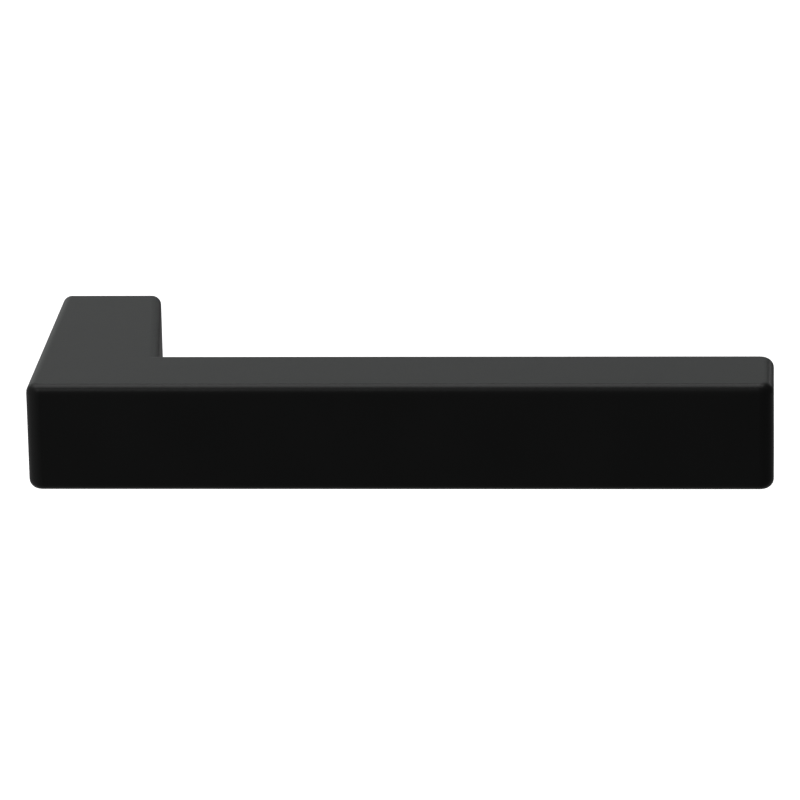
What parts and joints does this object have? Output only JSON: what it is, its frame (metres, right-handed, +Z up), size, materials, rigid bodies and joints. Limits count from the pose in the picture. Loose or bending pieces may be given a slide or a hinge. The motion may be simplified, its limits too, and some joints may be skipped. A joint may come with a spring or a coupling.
{
  "type": "door lever handle",
  "caption": "Matte black L-shaped door lever of square section, sprung inside its own neck, with a threaded door stud and a square spindle, without a rose.",
  "frame": {"origin": "on the neck's axis at the door face, where the threaded stud meets its flange", "axes": "+Y into the door along the stud and the spindle, +X along the grip, +Z up"},
  "size_m": [0.1355, 0.077, 0.02],
  "materials": {
    "black_powder_coat": "matte",
    "zinc_plated_steel": "satin",
    "bright_steel": "satin",
    "spring_steel": "satin",
    "sintered_steel": "matte",
    "black_oxide_steel": "satin",
    "acetal": "satin"
  },
  "bodies": {
    "door_bearing": {"bearing_sleeve": "zinc_plated_steel", "thrust_washer": "bright_steel", "spring_washer": "spring_steel", "snap_ring": "spring_steel", "return_spring": "spring_steel"},
    "lever": {"lever_body": "black_powder_coat", "cartridge_barrel": "zinc_plated_steel", "rear_bush": "acetal", "front_bush": "acetal", "spring_driver": "sintered_steel", "barrel_screw": "black_oxide_steel", "spindle_screw": "black_oxide_steel"},
    "spindle_bar": {"spindle": "bright_steel"}
  },
  "joints": [
    {"name": "lever_turn", "type": "hinge", "parent": "door_bearing", "child": "lever", "pos_m": [0, 0, 0], "axis": [0, 1, 0], "range_deg": [0, 45], "stiffness_Nm_per_rad": 0.444, "springref_deg": -55, "deforming": ["return_spring"]},
    {"name": "spindle_slide", "type": "slide", "parent": "lever", "child": "spindle_bar", "axis": [0, 1, 0], "range_m": [0, 0.008]}
  ]
}
